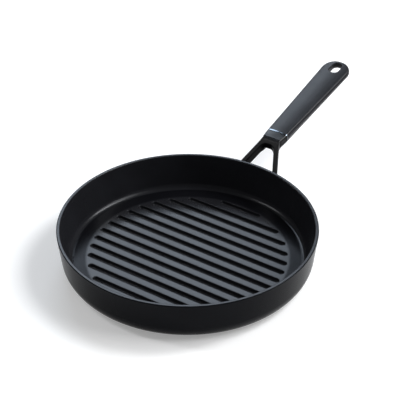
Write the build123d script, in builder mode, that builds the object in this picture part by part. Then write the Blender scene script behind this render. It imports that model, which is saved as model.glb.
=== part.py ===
from build123d import *
import os
from math import atan, cos, degrees, radians, sin, sqrt, tan

os.makedirs("parts", exist_ok=True)

# Grill pan with a forked bracket and a two-part grip, in millimetres and degrees.
# The pan stands on Z = 0 with its axis on Z, and the handle points along +X.

# Pan body
rim_diameter = 280
pan_height = 50
wall_lean = 6.8
base_corner_radius = 20.7
rim_width = 3.8
rim_edge_round = 0.9
inner_wall_lean = 10.8
floor_height = 10
floor_corner_radius = 7

# Grooves in the cooking floor, which leave ribs level with the floor ring
groove_pitch = 14.9
groove_width = 6.4
groove_depth = 3.8
groove_draft = 12
groove_bottom_round = 1.9
rib_edge_round = 0.9
floor_ring_width = 15.3
last_groove_share = 0.98

# Steel plate pressed into the underside
base_plate_margin = 17.7
base_plate_thickness = 1.2
base_plate_gap = 0.1
base_plate_edge_chamfer = 0.4
base_plate_ring_pitch = 18
base_plate_ring_width = 1.6
base_plate_ring_depth = 0.4

# Handle line: at the ring station the bracket's collar gives way to the grip
ring_stand_off = 43.3
ring_axis_height = 68.6
handle_tilt = 9.7

# Grip, a rigid core with a soft cover moulded over its top, wider and flatter at the tail
grip_length = 146.6
grip_front_width = 26.4
grip_front_height = 10.4
grip_tail_width = 35
grip_tail_height = 7.6
grip_tail_round = 15.8
grip_crown_radius = 85
grip_top_round = 2.8
grip_bottom_round = 1.7
seam_front_height = 3.8
seam_tail_height = 2.2
seam_chamfer = 0.35
cover_wall = 1.4
core_end_wall = 4

# Hanging hole through the tail of the grip
hole_width = 12
hole_length = 18.4
hole_from_tail = 14
hole_edge_round = 0.9

# Metal ring and gasket between the collar and the grip
accent_ring_thickness = 1.8
gasket_thickness = 1.1
gasket_inset = 0.7

# Forked bracket
collar_length = 10
collar_front_width = 23.5
collar_front_height = 11
collar_front_round = 1.8
collar_front_drop = 0.31
collar_front_crown_radius = 450
shoulder_width = 22.4
shoulder_drop = 0.8
root_overlap = 1.5
shoulder_lead = 2.4
arm_width = 6
arm_height = 11.4
arm_spread_share = 0.542
arm_landing_height = 35
bend_radius = 10
shoulder_radius = 14
crotch_depth = 4.5
crotch_round = 8
web_thickness = 4.5
web_reach = 4
bracket_edge_round = 1.4
foot_width = 17
foot_height = 23.5
foot_thickness = 4
foot_centre_height = 31
foot_corner_round = 5
foot_gap = 0.1

# Tang of the bracket inside the grip, and the screw that holds it
tang_width = 11
tang_height = 2.8
tang_drop = 0.1
tang_length = 62
tang_gap = 0.15
screw_diameter = 4
screw_head_diameter = 7.6
screw_head_height = 1.5
screw_from_ring = 26
screw_gap = 0.1
screw_recess_depth = 2.3
screw_slot_width = 1.1
screw_slot_depth = 0.9
screw_cross_share = 0.6
screw_head_round_share = 0.5
washer_diameter = 9
washer_thickness = 0.6

# Studs welded to the wall, and the domed nuts that hold the feet on them
stud_diameter = 5
stud_drop = 6.6
stud_gap = 0.1
nut_across_flats = 8
nut_hexagon_height = 2.8
nut_bore_depth = 3.4
nut_dome_share = 0.92

# One overrun serves every cut
overrun = 20

# Worked out from the sizes above
rim_radius = rim_diameter / 2
inner_rim_radius = rim_radius - rim_width
wall_foot_radius = rim_radius - pan_height * tan(radians(wall_lean))
inner_foot_radius = inner_rim_radius - (pan_height - floor_height) * tan(radians(inner_wall_lean))
flat_base_radius = wall_foot_radius - base_corner_radius / tan(radians((90 + wall_lean) / 2))
flat_floor_radius = inner_foot_radius - floor_corner_radius / tan(radians((90 + inner_wall_lean) / 2))
base_plate_radius = flat_base_radius - base_plate_margin
ring_reach = rim_radius + ring_stand_off
collar_end = -accent_ring_thickness - gasket_thickness
collar_front = collar_end - collar_length
underside_slope = (grip_front_height - grip_tail_height) / grip_length
seam_front_level = seam_front_height - grip_front_height / 2
seam_tail_level = grip_front_height / 2 - grip_tail_height + seam_tail_height
seam_slope = (seam_tail_level - seam_front_level) / grip_length
front_crown_rise = grip_crown_radius - sqrt(grip_crown_radius**2 - (grip_front_width / 2) ** 2)
core_top_level = grip_front_height / 2 - front_crown_rise - cover_wall
core_block_length = collar_end + tang_length + tang_gap + core_end_wall
core_block_width = grip_front_width - 2 * cover_wall
screw_level = screw_from_ring * underside_slope - grip_front_height / 2
stud_height = foot_centre_height - stud_drop
grip_edge_start = seam_chamfer


def tilted_plane(origin, tilt):
    """Plane that looks up, with local X rising away from the pan by a tilt."""
    level, rise = cos(radians(tilt)), sin(radians(tilt))
    return Plane(origin=origin, x_dir=(level, 0, rise), z_dir=(-rise, 0, level))


handle_plane = tilted_plane((ring_reach, 0, ring_axis_height), handle_tilt)
handle_line = Axis(handle_plane.origin, handle_plane.x_dir)
handle_rise = Axis(handle_plane.origin, handle_plane.z_dir)
handle_side_plane = Plane(origin=handle_plane.origin, x_dir=handle_plane.x_dir, z_dir=(0, -1, 0))
seam_plane = tilted_plane(
    handle_plane.from_local_coords((0, 0, seam_front_level)), handle_tilt + degrees(atan(seam_slope))
)
underside_plane = tilted_plane(
    handle_plane.from_local_coords((screw_from_ring, 0, screw_level)),
    handle_tilt + degrees(atan(underside_slope)),
)
# Plane on the underside of the grip, facing down, at the screw
screw_plane = Plane(
    origin=underside_plane.origin, x_dir=underside_plane.x_dir, z_dir=-underside_plane.z_dir
)


def station(distance, rise=0):
    """Plane square to the handle at a distance from the ring station, with local Y upwards."""
    centre = handle_plane.from_local_coords((distance, 0, rise))
    return Plane(origin=centre, x_dir=(0, 1, 0), z_dir=handle_plane.x_dir)


def wall_plane(azimuth, height):
    """Plane on the outer wall, with local Y up the wall and its normal pointing outwards."""
    wall_radius = rim_radius - (pan_height - height) * tan(radians(wall_lean))
    across, along = sin(radians(azimuth)), cos(radians(azimuth))
    level, drop = cos(radians(wall_lean)), sin(radians(wall_lean))
    return Plane(
        origin=(wall_radius * along, wall_radius * across, height),
        x_dir=(-across, along, 0),
        z_dir=(level * along, level * across, -drop),
    )


def crowned_section(width, height, crown_radius, top_round, bottom_round):
    """Section of the handle: upright sides, rounded corners and a gently domed top."""
    Rectangle(width, height)
    with Locations((0, height / 2 - crown_radius)):
        Circle(crown_radius, mode=Mode.INTERSECT)
    fillet(vertices().group_by(Axis.Y)[-1], top_round)
    fillet(vertices().group_by(Axis.Y)[0], bottom_round)


def wall_outline(gap):
    """Half section of the outer wall's cone, grown by a gap and carried past the pan."""
    slope = tan(radians(wall_lean))
    return (
        (0, -overrun),
        (wall_foot_radius + gap - overrun * slope, -overrun),
        (rim_radius + gap + overrun * slope, pan_height + overrun),
        (0, pan_height + overrun),
    )


def seam_edges():
    """Outer edges of the seam face of the part in hand, without the one at the front of the grip."""
    seam_face = faces().filter_by(seam_plane)[0]
    return seam_face.outer_wire().edges().filter_by_position(handle_line, grip_edge_start, grip_length)


def save(piece, name):
    piece.part.label = name
    export_step(piece.part, f"parts/{name}.step")


# Pan body: one casting, revolved from its half section
with BuildPart() as pan_body:
    with BuildSketch(Plane.XZ):
        with BuildLine():
            Polyline(
                (0, 0),
                (wall_foot_radius, 0),
                (rim_radius, pan_height),
                (inner_rim_radius, pan_height),
                (inner_foot_radius, floor_height),
                (0, floor_height),
                close=True,
            )
        make_face()
        fillet(vertices().sort_by_distance((wall_foot_radius, 0))[0], base_corner_radius)
        fillet(vertices().sort_by_distance((inner_foot_radius, floor_height))[0], floor_corner_radius)
        fillet(vertices().sort_by_distance((rim_radius, pan_height))[0], rim_edge_round)
        fillet(vertices().sort_by_distance((inner_rim_radius, pan_height))[0], rim_edge_round)
    revolve(axis=Axis.Z)

    # Round-ended grooves run across the handle's direction and end on one circle
    field_radius = flat_floor_radius - floor_ring_width
    grooves_each_side = int(field_radius * last_groove_share / groove_pitch)
    with BuildSketch(Plane.XY.offset(floor_height)):
        for place in range(-grooves_each_side, grooves_each_side + 1):
            reach = place * groove_pitch
            with Locations((reach, 0)):
                SlotOverall(2 * sqrt(field_radius**2 - reach**2), groove_width, rotation=90)
    extrude(amount=-groove_depth, taper=groove_draft, mode=Mode.SUBTRACT)
    groove_floors = faces().filter_by(Plane.XY).group_by(Axis.Z)[1]
    fillet(groove_floors.edges(), groove_bottom_round)
    floor_face = faces().filter_by(Plane.XY).group_by(Axis.Z)[-2].sort_by(SortBy.AREA)[-1]
    fillet(ShapeList([edge for wire in floor_face.inner_wires() for edge in wire.edges()]), rib_edge_round)

    # Pocket for the steel plate
    with BuildSketch(Plane.XY):
        Circle(base_plate_radius + base_plate_gap)
    extrude(amount=base_plate_thickness, mode=Mode.SUBTRACT)
save(pan_body, "pan_body")

# Steel base plate with turned rings on its underside
with BuildPart() as base_plate:
    with BuildSketch(Plane.XY):
        Circle(base_plate_radius)
    extrude(amount=base_plate_thickness)
    chamfer(edges().group_by(Axis.Z)[0], base_plate_edge_chamfer)
    ring_count = int(base_plate_radius / base_plate_ring_pitch)
    with BuildSketch(Plane.XY):
        for place in range(1, ring_count + 1):
            Circle(place * base_plate_ring_pitch + base_plate_ring_width / 2)
            Circle(place * base_plate_ring_pitch - base_plate_ring_width / 2, mode=Mode.SUBTRACT)
    extrude(amount=base_plate_ring_depth, mode=Mode.SUBTRACT)
save(base_plate, "base_plate")

# Where the bracket's arms leave the collar and land on the wall, seen from above:
# each arm's centre line runs from (shoulder_reach, root_spread) towards the pan and outwards
arm_half_across = arm_width / 2 * sqrt(1 + arm_spread_share**2)
root_spread = shoulder_width / 2 - arm_half_across
shoulder_line = collar_front - shoulder_lead
shoulder_top = handle_plane.from_local_coords((shoulder_line, 0, grip_front_height / 2 - shoulder_drop))
landing_radius = rim_radius - (pan_height - arm_landing_height) * tan(radians(wall_lean))
run_term = shoulder_top.X - arm_spread_share * root_spread
radius_term = shoulder_top.X**2 + root_spread**2 - landing_radius**2
squares = 1 + arm_spread_share**2
arm_run = (run_term - sqrt(run_term**2 - squares * radius_term)) / squares
landing_reach = shoulder_top.X - arm_run
landing_spread = root_spread + arm_spread_share * arm_run
arm_fall = shoulder_top.Z - arm_height / 2 - arm_landing_height
foot_azimuth = degrees(atan(landing_spread / landing_reach))
arm_end_run = arm_run + overrun
arm_end_spread = root_spread + arm_spread_share * arm_end_run

# Collar of the bracket, from the ring to the shoulder
collar_front_centre = (grip_front_height - collar_front_height) / 2 - collar_front_drop
with BuildPart() as collar_form:
    with BuildSketch(station(collar_end)):
        crowned_section(
            grip_front_width, grip_front_height, grip_crown_radius, grip_top_round, grip_bottom_round
        )
    with BuildSketch(station(collar_front, collar_front_centre)):
        crowned_section(
            collar_front_width,
            collar_front_height,
            collar_front_crown_radius,
            collar_front_round,
            collar_front_round,
        )
    loft()

# Recess under the web that joins the arms, from the web's underside down and between the arms
crotch_reach = shoulder_top.X - crotch_depth
crotch_half_width = root_spread + arm_spread_share * crotch_depth - arm_half_across
web_start, web_end = crotch_reach + web_reach, crotch_reach - crotch_round
web_fall = arm_fall / arm_run
web_drop = web_thickness * sqrt(1 + web_fall**2)
with BuildPart() as web_recess:
    with BuildSketch(Plane.XZ):
        with BuildLine():
            Polyline(
                (web_start, shoulder_top.Z - (shoulder_top.X - web_start) * web_fall - web_drop),
                (web_end, shoulder_top.Z - (shoulder_top.X - web_end) * web_fall - web_drop),
                (web_end, 0),
                (web_start, 0),
                close=True,
            )
        make_face()
    extrude(amount=rim_radius, both=True)
    with BuildSketch(Plane.XY):
        with BuildLine():
            Polyline(
                (web_start, 0),
                (web_start, crotch_half_width - arm_spread_share * web_reach),
                (web_end, crotch_half_width + arm_spread_share * crotch_round),
                (web_end, 0),
                close=True,
            )
        make_face()
        mirror(about=Plane.XZ)
    extrude(amount=shoulder_top.Z, mode=Mode.INTERSECT)

# Forked bracket: one casting of collar, two arms, two feet and a tang
with BuildPart() as fork_bracket:
    # Side view of the fork, a band that bends down at the shoulder
    root = handle_plane.from_local_coords(
        (collar_front + root_overlap, 0, grip_front_height / 2 - shoulder_drop)
    )
    end_level = shoulder_top.Z - arm_fall * arm_end_run / arm_run
    with BuildSketch(Plane.XZ):
        with BuildLine():
            Polyline(
                (root.X, root.Z),
                (shoulder_top.X, shoulder_top.Z),
                (shoulder_top.X - arm_end_run, end_level),
                (shoulder_top.X - arm_end_run, end_level - arm_height),
                (shoulder_top.X, shoulder_top.Z - arm_height),
                (root.X, root.Z - arm_height),
                close=True,
            )
        make_face()
        fillet(vertices().sort_by_distance((shoulder_top.X, shoulder_top.Z))[0], bend_radius)
        fillet(vertices().sort_by_distance((shoulder_top.X, shoulder_top.Z - arm_height))[0], bend_radius)
    extrude(amount=rim_radius, both=True)
    # View from above, two arms either side of the crotch
    with BuildSketch(Plane.XY):
        with BuildLine():
            Polyline(
                (root.X, 0),
                (root.X, shoulder_width / 2),
                (shoulder_top.X, shoulder_width / 2),
                (shoulder_top.X - arm_end_run, arm_end_spread + arm_half_across),
                (shoulder_top.X - arm_end_run, arm_end_spread - arm_half_across),
                (crotch_reach, crotch_half_width),
                (crotch_reach, 0),
                close=True,
            )
        make_face()
        fillet(vertices().sort_by_distance((shoulder_top.X, shoulder_width / 2))[0], shoulder_radius)
        fillet(vertices().sort_by_distance((crotch_reach, crotch_half_width))[0], crotch_round)
        mirror(about=Plane.XZ)
    extrude(amount=shoulder_top.Z + overrun, mode=Mode.INTERSECT)
    root_edges = faces().sort_by(Axis.X)[-1].edges()
    fillet(edges().filter_by(Axis.Z, reverse=True) - root_edges, bracket_edge_round)
    # The web that joins the arms is thinner than they are
    add(web_recess.part, mode=Mode.SUBTRACT)

    # Feet, cut to the curve of the wall
    for azimuth in (foot_azimuth, -foot_azimuth):
        with BuildSketch(wall_plane(azimuth, foot_centre_height).offset(-foot_thickness)):
            RectangleRounded(foot_width, foot_height, foot_corner_round)
        extrude(amount=2 * foot_thickness)
    with BuildSketch(Plane.XZ):
        with BuildLine():
            Polyline(*wall_outline(foot_gap), close=True)
        make_face()
    revolve(axis=Axis.Z, mode=Mode.SUBTRACT)

    add(collar_form.part)

    # Tang, with the hole for the grip's screw
    with BuildSketch(station(collar_end)):
        with Locations((0, -tang_drop)):
            Rectangle(tang_width, tang_height)
    extrude(amount=tang_length)
    with Locations(screw_plane):
        Hole(screw_diameter / 2 + screw_gap, depth=grip_front_height)
    for azimuth in (foot_azimuth, -foot_azimuth):
        with Locations(wall_plane(azimuth, stud_height).offset(foot_thickness)):
            Hole(stud_diameter / 2 + stud_gap, depth=2 * foot_thickness)
save(fork_bracket, "fork_bracket")

# Studs welded to the outside of the wall, their roots cut to its curve
with BuildPart() as wall_studs:
    for azimuth in (foot_azimuth, -foot_azimuth):
        with BuildSketch(wall_plane(azimuth, stud_height).offset(-stud_diameter)):
            Circle(stud_diameter / 2)
        extrude(amount=stud_diameter + foot_thickness + nut_bore_depth - stud_gap)
    with BuildSketch(Plane.XZ):
        with BuildLine():
            Polyline(*wall_outline(0), close=True)
        make_face()
    revolve(axis=Axis.Z, mode=Mode.SUBTRACT)
save(wall_studs, "wall_studs")

# Domed nuts on the studs
with BuildPart() as dome_nuts:
    for azimuth in (foot_azimuth, -foot_azimuth):
        foot_face = wall_plane(azimuth, stud_height).offset(foot_thickness)
        with BuildSketch(foot_face):
            RegularPolygon(nut_across_flats / 2, 6, major_radius=False)
        extrude(amount=nut_hexagon_height)
        with Locations(foot_face.offset(nut_hexagon_height)):
            Sphere(nut_across_flats / 2 * nut_dome_share, arc_size1=0)
        with BuildSketch(foot_face):
            Circle(stud_diameter / 2 + stud_gap)
        extrude(amount=nut_bore_depth, mode=Mode.SUBTRACT)
save(dome_nuts, "dome_nuts")

# Gasket between the collar and the ring, set back so that it reads as a dark line
with BuildPart() as ring_gasket:
    with BuildSketch(station(collar_end)):
        crowned_section(
            grip_front_width - 2 * gasket_inset,
            grip_front_height - 2 * gasket_inset,
            grip_crown_radius,
            grip_top_round - gasket_inset,
            grip_bottom_round - gasket_inset,
        )
        with Locations((0, -tang_drop)):
            Rectangle(tang_width + 2 * tang_gap, tang_height + 2 * tang_gap, mode=Mode.SUBTRACT)
    extrude(amount=gasket_thickness)
save(ring_gasket, "ring_gasket")

# Bright metal ring at the front of the grip
with BuildPart() as accent_ring:
    with BuildSketch(station(-accent_ring_thickness)):
        crowned_section(
            grip_front_width, grip_front_height, grip_crown_radius, grip_top_round, grip_bottom_round
        )
        with Locations((0, -tang_drop)):
            Rectangle(tang_width + 2 * tang_gap, tang_height + 2 * tang_gap, mode=Mode.SUBTRACT)
    extrude(amount=accent_ring_thickness)
save(accent_ring, "accent_ring")

# Whole outer form of the grip, shared by its core and its cover
with BuildPart() as grip_form:
    # Side view: a level top and an underside that rises towards the tail
    with BuildSketch(handle_side_plane):
        with BuildLine():
            Polyline(
                (-overrun, grip_front_height / 2),
                (grip_length + overrun, grip_front_height / 2),
                (grip_length + overrun, underside_slope * (grip_length + overrun) - grip_front_height / 2),
                (-overrun, -underside_slope * overrun - grip_front_height / 2),
                close=True,
            )
        make_face()
    extrude(amount=grip_tail_width, both=True)
    # View from above: sides drawn tangent to the rounded corners of the tail
    with BuildSketch(handle_plane.offset(-grip_front_height / 2)):
        corner_reach = grip_length - grip_tail_round
        corner_spread = grip_tail_width / 2 - grip_tail_round
        with BuildLine() as ends:
            Line((0, -grip_front_width / 2), (0, grip_front_width / 2))
            CenterArc((corner_reach, corner_spread), grip_tail_round, 0, 360)
            CenterArc((corner_reach, -corner_spread), grip_tail_round, 0, 360)
        make_hull(ends.edges())
    extrude(amount=grip_front_height, mode=Mode.INTERSECT)
    # Crown along the top
    with BuildSketch(station(-overrun)):
        with Locations((0, grip_front_height / 2 - grip_crown_radius)):
            Circle(grip_crown_radius)
    extrude(amount=grip_length + 2 * overrun, mode=Mode.INTERSECT)
    side_edges = edges().filter_by_position(handle_line, grip_edge_start, grip_length)
    fillet(side_edges.group_by(handle_rise)[-1], grip_top_round)
    side_edges = edges().filter_by_position(handle_line, grip_edge_start, grip_length)
    fillet(side_edges.group_by(handle_rise)[0], grip_bottom_round)
    # Round-ended hanging hole near the tail
    with BuildSketch(handle_plane):
        with Locations((grip_length - hole_from_tail, 0)):
            SlotOverall(hole_length, hole_width)
    extrude(amount=grip_front_height, both=True, mode=Mode.SUBTRACT)
    fillet(edges(Select.LAST).filter_by(handle_rise, reverse=True), hole_edge_round)

# Block round the tang, from inside the cover's top down to the seam at the front of the grip
with BuildPart() as core_block:
    with BuildSketch(handle_plane.offset(core_top_level)):
        with Locations((core_block_length / 2, 0)):
            Rectangle(core_block_length, core_block_width)
    extrude(amount=seam_front_level - core_top_level)

# Rigid core: the underside of the grip and the block that the cover is moulded over
with BuildPart() as grip_core:
    add(grip_form.part)
    split(bisect_by=seam_plane, keep=Keep.BOTTOM)
    chamfer(seam_edges(), seam_chamfer)
    add(core_block.part)
    with BuildSketch(station(0)):
        with Locations((0, -tang_drop)):
            Rectangle(tang_width + 2 * tang_gap, tang_height + 2 * tang_gap)
    extrude(amount=collar_end + tang_length + tang_gap, mode=Mode.SUBTRACT)
    with Locations(screw_plane):
        CounterBoreHole(
            radius=screw_diameter / 2 + screw_gap,
            counter_bore_radius=washer_diameter / 2 + screw_gap,
            counter_bore_depth=screw_recess_depth,
            depth=grip_front_height / 2,
        )
save(grip_core, "grip_core")

# Soft cover moulded over the core
with BuildPart() as grip_cover:
    add(grip_form.part)
    split(bisect_by=seam_plane, keep=Keep.TOP)
    chamfer(seam_edges(), seam_chamfer)
    add(core_block.part, mode=Mode.SUBTRACT)
save(grip_cover, "grip_cover")

# Washer and screw in the underside of the grip
washer_seat = screw_plane.offset(-screw_recess_depth)
with BuildPart() as screw_washer:
    with BuildSketch(washer_seat):
        Circle(washer_diameter / 2)
        Circle(screw_diameter / 2 + screw_gap, mode=Mode.SUBTRACT)
    extrude(amount=washer_thickness)
save(screw_washer, "screw_washer")

with BuildPart() as grip_screw:
    with BuildSketch(washer_seat.offset(washer_thickness)):
        Circle(screw_head_diameter / 2)
    extrude(amount=screw_head_height)
    fillet(edges().sort_by(handle_rise)[0], screw_head_height * screw_head_round_share)
    with BuildSketch(washer_seat.offset(washer_thickness + screw_head_height)):
        Rectangle(screw_head_diameter * screw_cross_share, screw_slot_width)
        Rectangle(screw_slot_width, screw_head_diameter * screw_cross_share)
    extrude(amount=-screw_slot_depth, mode=Mode.SUBTRACT)
    shank_length = tang_height / 2 - tang_drop - screw_level - screw_recess_depth + washer_thickness
    with BuildSketch(washer_seat.offset(washer_thickness)):
        Circle(screw_diameter / 2)
    extrude(amount=-shank_length)
save(grip_screw, "grip_screw")
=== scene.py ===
from math import cos, pi, radians, sin

import bpy
from mathutils import Matrix, Vector

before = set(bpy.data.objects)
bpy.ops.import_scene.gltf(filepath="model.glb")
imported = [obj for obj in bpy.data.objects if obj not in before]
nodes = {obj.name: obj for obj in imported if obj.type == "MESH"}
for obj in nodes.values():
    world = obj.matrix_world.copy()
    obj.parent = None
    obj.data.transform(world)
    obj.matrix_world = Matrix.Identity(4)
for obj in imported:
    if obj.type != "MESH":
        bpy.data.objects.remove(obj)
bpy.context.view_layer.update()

# Pan body: one aluminium casting, turned clean at the rim and sprayed with a dark grey
# non-stick coating, very slightly pebbled. Tools rub its inside to a satin shine and wear
# its edges paler, while the outside and the ring of floor round the ribs stay dull. There
# the colour is also painted darker, as painted shade.
coating_dark = (0.0086, 0.0088, 0.0104, 1)
coating_pale = (0.0132, 0.0136, 0.0162, 1)
coating_worn = (0.045, 0.047, 0.054, 1)
# Painted shade: the darker colour put on the floor ring and the outside wall.
coating_painted_shade = (0.0028, 0.0029, 0.0040, 1)
coating_cloud = {"Size": 0.045, "Detail": 5}
coating_fleck = {"Size": 0.0006, "Detail": 0}
coating_edge = {"Width": 0.0007, "Grain": 0.006}
coating_dull_painted_shade = {"Ribs": 0.1095, "Ring": 0.1245, "Outside": 0.118}
coating_pebble = 0.0011
fleck_share = 0.5
painted_shade_share = 0.8
worn_share = 0.35
coating_rough = (0.20, 0.27)
coating_bump = (0.35, 0.00002)
coating_ior = 1.24
coating_level = 0.17
coating_gloss_tint = (0.87, 0.92, 1.0, 1)
rubbed_ior = 1.19
rubbed_rough = 0.24


def fill(tree, node, sockets):
    """Sets a node's sockets, each to a value or to a link from another socket."""
    for name, value in sockets.items():
        if isinstance(value, bpy.types.NodeSocket):
            tree.links.new(value, node.inputs[name])
        else:
            node.inputs[name].default_value = value


def put(tree, kind, sockets=None, **settings):
    """One node, with its settings and its sockets."""
    made = tree.nodes.new(kind)
    for name, value in settings.items():
        setattr(made, name, value)
    fill(tree, made, sockets or {})
    return made


def maths(tree, operation, first, second):
    """Result of one operation on two numbers."""
    return put(tree, "ShaderNodeMath", {0: first, 1: second}, operation=operation).outputs[0]


def stretch(tree, value, low, high):
    """Mask that is 0 where a number is at low and 1 where it is at high."""
    limits = {"Value": value, "From Min": low, "From Max": high}
    return put(tree, "ShaderNodeMapRange", limits).outputs["Result"]


def mix_numbers(tree, share, low, high):
    """Number between two numbers, by a mask."""
    limits = {"Value": share, "To Min": low, "To Max": high}
    return put(tree, "ShaderNodeMapRange", limits).outputs["Result"]


def mix_colours(tree, share, first, second):
    """Colour between two colours, by a mask."""
    mixed = put(tree, "ShaderNodeMix", {"Factor": share}, data_type="RGBA")
    for side, colour in (("A", first), ("B", second)):
        socket = [s for s in mixed.inputs if s.name == side and s.type == "RGBA"][0]
        if isinstance(colour, bpy.types.NodeSocket):
            tree.links.new(colour, socket)
        else:
            socket.default_value = colour
    return [s for s in mixed.outputs if s.type == "RGBA"][0]


def grain_sockets(tree, size):
    """Place and scale sockets for a texture whose grain has a size in metres."""
    place = put(tree, "ShaderNodeTexCoord").outputs["Object"]
    return {"Vector": place, "Scale": maths(tree, "DIVIDE", 1.0, size)}


def noise(tree, size, detail):
    """Noise over the surface, from the size of its grain in metres."""
    sockets = {**grain_sockets(tree, size), "Detail": detail}
    return put(tree, "ShaderNodeTexNoise", sockets).outputs["Fac"]


def bump(tree, height, strength, depth):
    """Normal of a raised pattern that stands a depth in metres."""
    sockets = {"Height": height, "Strength": strength, "Distance": depth}
    return put(tree, "ShaderNodeBump", sockets).outputs["Normal"]


def new_effect(title, inputs, output):
    """An empty node group with named number inputs and one output, and its two end nodes."""
    tree = bpy.data.node_groups.new(title, "ShaderNodeTree")
    for name, value in inputs.items():
        socket = tree.interface.new_socket(name, in_out="INPUT", socket_type="NodeSocketFloat")
        socket.default_value = value
    tree.interface.new_socket(output, in_out="OUTPUT", socket_type="NodeSocketFloat")
    return tree, tree.nodes.new("NodeGroupInput").outputs, tree.nodes.new("NodeGroupOutput").inputs


def use_effect(tree, effect, values):
    """Result of a node group placed in a material, with this material's own values."""
    placed = tree.nodes.new("ShaderNodeGroup")
    placed.node_tree = effect
    fill(tree, placed, values)
    return placed.outputs[0]


def make_clouds():
    """Soft cloudy change over the surface, from the size of one cloud in metres."""
    darkest, brightest = 0.32, 0.68
    tree, start, end = new_effect("Clouds", {"Size": 0.03, "Detail": 3}, "Mask")
    cloudy = noise(tree, start["Size"], start["Detail"])
    tree.links.new(stretch(tree, cloudy, darkest, brightest), end["Mask"])
    return tree


def make_pebble():
    """Fine pebbled height of a sprayed or moulded skin, from the size of one pebble in metres."""
    uneven_detail = 2
    tree, start, end = new_effect("Pebble", {"Size": 0.001}, "Height")
    sockets = grain_sockets(tree, start["Size"])
    cells = put(tree, "ShaderNodeTexVoronoi", sockets, feature="SMOOTH_F1").outputs["Distance"]
    uneven = noise(tree, start["Size"], uneven_detail)
    tree.links.new(maths(tree, "ADD", cells, uneven), end["Height"])
    return tree


def make_edge_wear():
    """Mask that is bright along convex edges, broken up by a fine noise."""
    flat_turn, sharp_turn = 0.995, 0.9
    broken_low, broken_high, broken_detail = 0.35, 0.6, 4
    tree, start, end = new_effect("Edge wear", {"Width": 0.001, "Grain": 0.004}, "Mask")
    rounded = put(tree, "ShaderNodeBevel", {"Radius": start["Width"]}, samples=4).outputs["Normal"]
    faced = put(tree, "ShaderNodeNewGeometry").outputs["Normal"]
    along = put(tree, "ShaderNodeVectorMath", {0: rounded, 1: faced}, operation="DOT_PRODUCT")
    turned = stretch(tree, along.outputs["Value"], flat_turn, sharp_turn)
    broken = stretch(tree, noise(tree, start["Grain"], broken_detail), broken_low, broken_high)
    tree.links.new(maths(tree, "MULTIPLY", turned, broken), end["Mask"])
    return tree


def make_dull_painted_shade():
    """Mask of the coating that tools don't rub, which is also painted darker as shade: the ring
    between the radii Ribs and Ring of the floor, and what faces outwards past the radius Outside."""
    fade_in, fade_out = -0.001, 0.002
    outward_from, floor_from = 0.05, 0.9
    inputs = {"Ribs": 0.1, "Ring": 0.12, "Outside": 0.12}
    tree, start, end = new_effect("Dull coating with painted shade", inputs, "Mask")
    face = put(tree, "ShaderNodeNewGeometry").outputs
    sockets = {0: face["Position"], 1: (1, 1, 0)}
    level = put(tree, "ShaderNodeVectorMath", sockets, operation="MULTIPLY").outputs["Vector"]
    reach = put(tree, "ShaderNodeVectorMath", {0: level}, operation="LENGTH").outputs["Value"]
    away = put(tree, "ShaderNodeVectorMath", {0: level}, operation="NORMALIZE").outputs["Vector"]
    sockets = {0: away, 1: face["Normal"]}
    out = put(tree, "ShaderNodeVectorMath", sockets, operation="DOT_PRODUCT").outputs["Value"]
    up = put(tree, "ShaderNodeSeparateXYZ", {"Vector": face["Normal"]}).outputs["Z"]

    past_ribs = stretch(tree, maths(tree, "SUBTRACT", reach, start["Ribs"]), fade_in, fade_out)
    before_wall = maths(tree, "GREATER_THAN", start["Ring"], reach)
    ring = maths(tree, "MULTIPLY", past_ribs, before_wall)
    floor_ring = maths(tree, "MULTIPLY", ring, maths(tree, "GREATER_THAN", up, floor_from))
    past_floor = maths(tree, "GREATER_THAN", reach, start["Outside"])
    outward = maths(tree, "GREATER_THAN", out, outward_from)
    outside = maths(tree, "MULTIPLY", past_floor, outward)
    tree.links.new(maths(tree, "MAXIMUM", floor_ring, outside), end["Mask"])
    return tree


def new_material(title):
    """A material with only its output and its Principled shader."""
    made = bpy.data.materials.new(title)
    made.use_nodes = True
    return made, made.node_tree, made.node_tree.nodes["Principled BSDF"]


def dress(name, material):
    """Puts one material on a node of the frame."""
    slots = nodes[name].data.materials
    slots.clear()
    slots.append(material)


clouds = make_clouds()
pebble = make_pebble()
edge_wear = make_edge_wear()
dull_painted_shade_group = make_dull_painted_shade()

coating, tree, shader = new_material("non_stick_coating")
cloud = use_effect(tree, clouds, coating_cloud)
fleck = mix_numbers(tree, use_effect(tree, clouds, coating_fleck), 0, fleck_share)
wear = mix_numbers(tree, use_effect(tree, edge_wear, coating_edge), 0, worn_share)
dull_painted_shade = use_effect(tree, dull_painted_shade_group, coating_dull_painted_shade)
ground = mix_colours(tree, cloud, coating_dark, coating_pale)
flecked = mix_colours(tree, fleck, ground, coating_pale)
# Painted shade: the floor ring and the outside are darkened here by the dull mask.
sprayed_with_painted_shade = mix_colours(tree, mix_numbers(tree, dull_painted_shade, 0, painted_shade_share), flecked, coating_painted_shade)
skin = use_effect(tree, pebble, {"Size": coating_pebble})
finish = {
    "Base Color": mix_colours(tree, wear, sprayed_with_painted_shade, coating_worn),
    "Roughness": mix_numbers(tree, cloud, *coating_rough),
    "Normal": bump(tree, skin, *coating_bump),
    "IOR": coating_ior,
    "Specular IOR Level": coating_level,
    "Specular Tint": coating_gloss_tint,
    "Coat Weight": mix_numbers(tree, dull_painted_shade, 1, 0),
    "Coat IOR": rubbed_ior,
    "Coat Roughness": rubbed_rough,
}
fill(tree, shader, finish)
dress("pan_body", coating)

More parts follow.
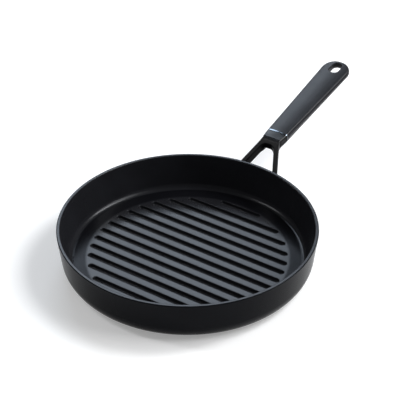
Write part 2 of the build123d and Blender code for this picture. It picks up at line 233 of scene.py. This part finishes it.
# Base plate: a disc of magnetic stainless steel pressed into the underside for induction
# hobs. It is turned on a lathe, which leaves faint rings round its centre, and a shallow
# round groove near its edge lets the steel stretch when it is hot.
plate_steel = (0.52, 0.52, 0.53, 1)
plate_tint = (0.40, 0.38, 0.36, 1)
plate_heat = {"Size": 0.05, "Detail": 3}
heat_share = 0.5
turning_pitch = 0.00377
turning_waver = 0.4
plate_rough = (0.24, 0.38)
plate_bump = (0.4, 0.00002)


def line_sockets(tree, pitch):
    """Place and scale sockets for a wave texture whose lines have a pitch in metres."""
    wave_radians_per_unit = 20
    return grain_sockets(tree, pitch * wave_radians_per_unit / (2 * pi))


plate, tree, shader = new_material("turned_steel")
sockets = {**line_sockets(tree, turning_pitch), "Distortion": turning_waver}
rings = put(tree, "ShaderNodeTexWave", sockets, wave_type="RINGS", rings_direction="Z").outputs["Fac"]
heat = mix_numbers(tree, use_effect(tree, clouds, plate_heat), 0, heat_share)
finish = {
    "Base Color": mix_colours(tree, heat, plate_steel, plate_tint),
    "Roughness": mix_numbers(tree, rings, *plate_rough),
    "Normal": bump(tree, rings, *plate_bump),
    "Metallic": 1,
}
fill(tree, shader, finish)
dress("base_plate", plate)

# Forked bracket: an aluminium die casting with a collar, two arms and two feet that bolt
# to the wall. It is shot-blasted and sprayed satin black, so it keeps a fine orange peel.
# The paint thins along its edges, and handling gives its top more shine than its sides.
paint_black = (0.0026, 0.0026, 0.0032, 1)
paint_dusty = (0.0052, 0.0052, 0.0060, 1)
paint_edge = (0.024, 0.024, 0.026, 1)
paint_dust = {"Size": 0.012, "Detail": 4}
paint_wear = {"Width": 0.0006, "Grain": 0.003}
paint_top = {"Side": 0.4, "Top": 0.85}
wear_share = 0.4
paint_pebble = 0.0007
paint_rough = (0.30, 0.38)
paint_bump = (0.5, 0.00003)
paint_ior = 1.33
paint_level = 0.18
paint_shine_ior = 1.256
paint_shine_rough = 0.34


def make_top():
    """Mask that is bright on faces that look up, and dark on the sides and below."""
    tree, start, end = new_effect("Top", {"Side": 0.3, "Top": 0.8}, "Mask")
    face = put(tree, "ShaderNodeNewGeometry").outputs["Normal"]
    up = put(tree, "ShaderNodeSeparateXYZ", {"Vector": face}).outputs["Z"]
    tree.links.new(stretch(tree, up, start["Side"], start["Top"]), end["Mask"])
    return tree


top = make_top()

paint, tree, shader = new_material("satin_black_paint")
dust = use_effect(tree, clouds, paint_dust)
wear = mix_numbers(tree, use_effect(tree, edge_wear, paint_wear), 0, wear_share)
ground = mix_colours(tree, dust, paint_black, paint_dusty)
skin = use_effect(tree, pebble, {"Size": paint_pebble})
finish = {
    "Base Color": mix_colours(tree, wear, ground, paint_edge),
    "Roughness": mix_numbers(tree, dust, *paint_rough),
    "Normal": bump(tree, skin, *paint_bump),
    "IOR": paint_ior,
    "Specular IOR Level": paint_level,
    "Coat Weight": use_effect(tree, top, paint_top),
    "Coat IOR": paint_shine_ior,
    "Coat Roughness": paint_shine_rough,
}
fill(tree, shader, finish)
dress("fork_bracket", paint)

# Studs, domed nuts, grip screw and washer: plain stainless steel, turned and stamped.
# The studs are welded to the wall, the nuts hold the bracket's feet on them, and the
# screw clamps the grip to the bracket's tang.
fastener_steel = (0.50, 0.50, 0.51, 1)
fastener_tarnish = (0.36, 0.35, 0.34, 1)
tarnish_cloud = {"Size": 0.003, "Detail": 4}
tarnish_share = 0.6
fastener_pebble = 0.0005
fastener_rough = (0.22, 0.36)
fastener_bump = (0.3, 0.00001)

steel, tree, shader = new_material("plain_stainless")
stain = use_effect(tree, clouds, tarnish_cloud)
tarnish = mix_numbers(tree, stain, 0, tarnish_share)
skin = use_effect(tree, pebble, {"Size": fastener_pebble})
finish = {
    "Base Color": mix_colours(tree, tarnish, fastener_steel, fastener_tarnish),
    "Roughness": mix_numbers(tree, stain, *fastener_rough),
    "Normal": bump(tree, skin, *fastener_bump),
    "Metallic": 1,
}
fill(tree, shader, finish)
for name in ("wall_studs", "dome_nuts", "grip_screw", "screw_washer"):
    dress(name, steel)

# Gasket: a flat collar of black silicone, squeezed between the collar and the bright
# ring. It is set back from both, so it reads as a dark line.
silicone_black = (0.004, 0.004, 0.0045, 1)
silicone_grey = (0.009, 0.009, 0.010, 1)
silicone_cloud = {"Size": 0.004, "Detail": 3}
silicone_rough = (0.55, 0.7)

silicone, tree, shader = new_material("black_silicone")
bloom = use_effect(tree, clouds, silicone_cloud)
finish = {
    "Base Color": mix_colours(tree, bloom, silicone_black, silicone_grey),
    "Roughness": mix_numbers(tree, bloom, *silicone_rough),
}
fill(tree, shader, finish)
dress("ring_gasket", silicone)

# Bright ring: stainless steel, cut from strip, formed round the grip's section and
# polished along its length, so faint lines run round it. Its sides are painted darker, as
# painted shade.
ring_steel = (0.145, 0.168, 0.19, 1)
ring_shade = (0.105, 0.122, 0.14, 1)
# Painted shade: darker colour for the ring's sides.
ring_side_painted_shade = (0.045, 0.050, 0.055, 1)
ring_smudge = {"Size": 0.004, "Detail": 3}
ring_painted_shade_facing = {"Side": 0.3, "Top": 0.8}
polish_pitch = 0.001571
polish_waver = 1.5
polish_detail = 2
ring_rough = (0.16, 0.28)
ring_bump = (0.2, 0.00001)

polished, tree, shader = new_material("polished_ring")
waver = {"Distortion": polish_waver, "Detail": polish_detail}
sockets = {**line_sockets(tree, polish_pitch), **waver}
lines = put(tree, "ShaderNodeTexWave", sockets, wave_type="BANDS", bands_direction="X").outputs["Fac"]
bright = mix_colours(tree, use_effect(tree, clouds, ring_smudge), ring_steel, ring_shade)
finish = {
    # Painted shade: faces that don't look up are darkened towards the side colour.
    "Base Color": mix_colours(tree, use_effect(tree, top, ring_painted_shade_facing), ring_side_painted_shade, bright),
    "Roughness": mix_numbers(tree, lines, *ring_rough),
    "Normal": bump(tree, lines, *ring_bump),
    "Metallic": 1,
}
fill(tree, shader, finish)
dress("accent_ring", polished)

# Grip core: a stiff black plastic moulding that makes the underside of the grip and the
# block inside it. Its mould was spark-eroded, which leaves an even fine grain.
core_black = (0.012, 0.012, 0.014, 1)
core_grey = (0.020, 0.020, 0.022, 1)
core_cloud = {"Size": 0.02, "Detail": 3}
core_pebble = 0.0006
core_rough = (0.40, 0.48)
core_bump = (0.6, 0.00003)

core, tree, shader = new_material("moulded_plastic")
shade = use_effect(tree, clouds, core_cloud)
skin = use_effect(tree, pebble, {"Size": core_pebble})
finish = {
    "Base Color": mix_colours(tree, shade, core_black, core_grey),
    "Roughness": mix_numbers(tree, shade, *core_rough),
    "Normal": bump(tree, skin, *core_bump),
}
fill(tree, shader, finish)
dress("grip_core", core)

# Grip cover: a soft-touch rubber skin moulded over the core's top and sides, dark grey
# with a silky sheen. Hands have polished it in patches, and more on top than on its sides.
cover_dark = (0.0100, 0.0102, 0.0125, 1)
cover_pale = (0.0160, 0.0162, 0.0195, 1)
cover_cloud = {"Size": 0.035, "Detail": 3}
cover_patch = {"Size": 0.018, "Detail": 2}
cover_top = {"Side": 0.5, "Top": 0.95}
cover_pebble = 0.0005
cover_rough = (0.33, 0.41)
cover_bump = (0.5, 0.00002)
cover_ior = 1.275
cover_level = 0.16
cover_sheen_ior = 1.215
cover_sheen_rough = 0.37

cover, tree, shader = new_material("soft_touch_rubber")
shade = use_effect(tree, clouds, cover_cloud)
skin = use_effect(tree, pebble, {"Size": cover_pebble})
finish = {
    "Base Color": mix_colours(tree, shade, cover_dark, cover_pale),
    "Roughness": mix_numbers(tree, use_effect(tree, clouds, cover_patch), *cover_rough),
    "Normal": bump(tree, skin, *cover_bump),
    "IOR": cover_ior,
    "Specular IOR Level": cover_level,
    "Coat Weight": use_effect(tree, top, cover_top),
    "Coat IOR": cover_sheen_ior,
    "Coat Roughness": cover_sheen_rough,
}
fill(tree, shader, finish)
dress("grip_cover", cover)

# Floor: a wide sheet of white paper under the pan. It keeps the pan's soft shadow, and a
# little light of its own towards the camera brings the open paper up to white.
floor_half = 6.0
paper_white = 0.80
paper_change = 0.01
paper_lift = 0.27
mottle_size = 0.03
mottle_detail = 4

floor_mesh = bpy.data.meshes.new("paper_floor")
corners = [(x * floor_half, y * floor_half, 0) for x, y in ((-1, -1), (1, -1), (1, 1), (-1, 1))]
floor_mesh.from_pydata(corners, [], [(0, 1, 2, 3)])
floor = bpy.data.objects.new("paper_floor", floor_mesh)
bpy.context.scene.collection.objects.link(floor)


def seen_ray(tree):
    """1 for rays from the camera, or by way of a gloss or clear surface, and else 0."""
    path = put(tree, "ShaderNodeLightPath").outputs
    seen = maths(tree, "MAXIMUM", path["Is Camera Ray"], path["Is Glossy Ray"])
    return maths(tree, "MAXIMUM", seen, path["Is Transmission Ray"])


# Without a link to its place, the noise counts its mottles across the whole sheet.
paper, tree, shader = new_material("white_paper")
sockets = {"Scale": 2 * floor_half / mottle_size, "Detail": mottle_detail}
mottle = put(tree, "ShaderNodeTexNoise", sockets).outputs["Fac"]
finish = {
    "Base Color": mix_numbers(tree, mottle, paper_white - paper_change, paper_white + paper_change),
    "Roughness": 1,
    "Specular IOR Level": 0,
    "Emission Color": (1, 1, 1, 1),
    "Emission Strength": maths(tree, "MULTIPLY", seen_ray(tree), paper_lift),
}
fill(tree, shader, finish)
floor_mesh.materials.append(paper)

# Backdrop: white round the horizon, where cameras and reflections meet it, and dim
# overhead, where the room above the lamps is. Only soft ambient light comes from it.
ambient = 0.25
horizon = 1.0
overhead = 0.11
horizon_top = 0.08
overhead_foot = 0.30

world = bpy.data.worlds.new("studio")
world.use_nodes = True
bpy.context.scene.world = world
tree = world.node_tree
tree.nodes.clear()
place = put(tree, "ShaderNodeTexCoord").outputs["Generated"]
height = put(tree, "ShaderNodeSeparateXYZ", {"Vector": place}).outputs["Z"]
limits = {
    "Value": height,
    "From Min": horizon_top,
    "From Max": overhead_foot,
    "To Min": horizon,
    "To Max": overhead,
}
seen_level = put(tree, "ShaderNodeMapRange", limits).outputs["Result"]
level = put(tree, "ShaderNodeMix", {"Factor": seen_ray(tree)}, data_type="FLOAT")
numbers = [s for s in level.inputs if s.type == "VALUE" and s.name in ("A", "B")]
numbers[0].default_value = ambient
tree.links.new(seen_level, numbers[1])
sky = put(tree, "ShaderNodeBackground", {"Strength": level.outputs[0]})
put(tree, "ShaderNodeOutputWorld", {"Surface": sky.outputs[0]})

# Lamps: a wide softbox behind the pan lies as a sheen on the ribs and the grip. A key
# softbox and a strip on the right throw the shadow to the left. The strip and a narrower
# one on the left draw the bright arcs in the corner between the floor and the wall.
cool_tint = (0.77, 0.87, 1.0)
white_tint = (0.98, 0.99, 1.0)
lamp_aim = Vector((0, 0, 0.03))


def direction(azimuth, elevation):
    """Direction at an angle round and above the pan, in degrees."""
    level_share = cos(radians(elevation))
    turn = radians(azimuth)
    return Vector((level_share * cos(turn), level_share * sin(turn), sin(radians(elevation))))


def softbox(name, azimuth, elevation, distance, width, height, brightness, tint):
    """An area lamp that faces the pan from a direction, and whose face has a set brightness."""
    lamp = bpy.data.lights.new(name, "AREA")
    lamp.shape = "RECTANGLE"
    lamp.size = width
    lamp.size_y = height
    lamp.energy = brightness * pi * width * height
    lamp.color = tint
    holder = bpy.data.objects.new(name, lamp)
    bpy.context.scene.collection.objects.link(holder)
    towards_lamp = direction(azimuth, elevation)
    holder.location = lamp_aim + distance * towards_lamp
    holder.rotation_euler = towards_lamp.to_track_quat("Z", "Y").to_euler()
    holder.visible_camera = False


softbox(
    "back_softbox",
    azimuth=42,
    elevation=39,
    distance=3.0,
    width=1.4,
    height=0.74,
    brightness=8.0,
    tint=cool_tint,
)
softbox(
    "key_softbox",
    azimuth=-58,
    elevation=43,
    distance=3.0,
    width=1.9,
    height=1.6,
    brightness=6.6,
    tint=white_tint,
)
softbox(
    "key_strip",
    azimuth=-38,
    elevation=50,
    distance=2.9,
    width=0.60,
    height=1.2,
    brightness=17.0,
    tint=white_tint,
)
softbox(
    "left_strip",
    azimuth=114,
    elevation=46,
    distance=3.0,
    width=0.36,
    height=1.2,
    brightness=14.0,
    tint=white_tint,
)

# Camera: a long lens that looks down on the pan from the side away from the handle, so
# that the handle points back and to the right. Yaw, pitch and roll in degrees place the
# pan in the frame.
camera_distance = 1.52227
camera_elevation = 37.053
camera_azimuth = 214.7
aim_yaw = -0.5114
aim_pitch = 2.5225
aim_roll = 0.3248
lens_length = 126
sensor_width = 36
nearest_seen = 0.01
furthest_seen = 50

towards_camera = direction(camera_azimuth, camera_elevation)
view = bpy.data.cameras.new("camera")
view.lens = lens_length
view.sensor_width = sensor_width
view.clip_start = nearest_seen
view.clip_end = furthest_seen
camera = bpy.data.objects.new("camera", view)
bpy.context.scene.collection.objects.link(camera)
camera.matrix_world = (
    Matrix.Translation(towards_camera * camera_distance)
    @ towards_camera.to_track_quat("Z", "Y").to_matrix().to_4x4()
    @ Matrix.Rotation(radians(aim_yaw), 4, "Y")
    @ Matrix.Rotation(radians(aim_pitch), 4, "X")
    @ Matrix.Rotation(radians(-aim_roll), 4, "Z")
)
bpy.context.scene.camera = camera
bpy.context.scene.view_settings.view_transform = "Standard"
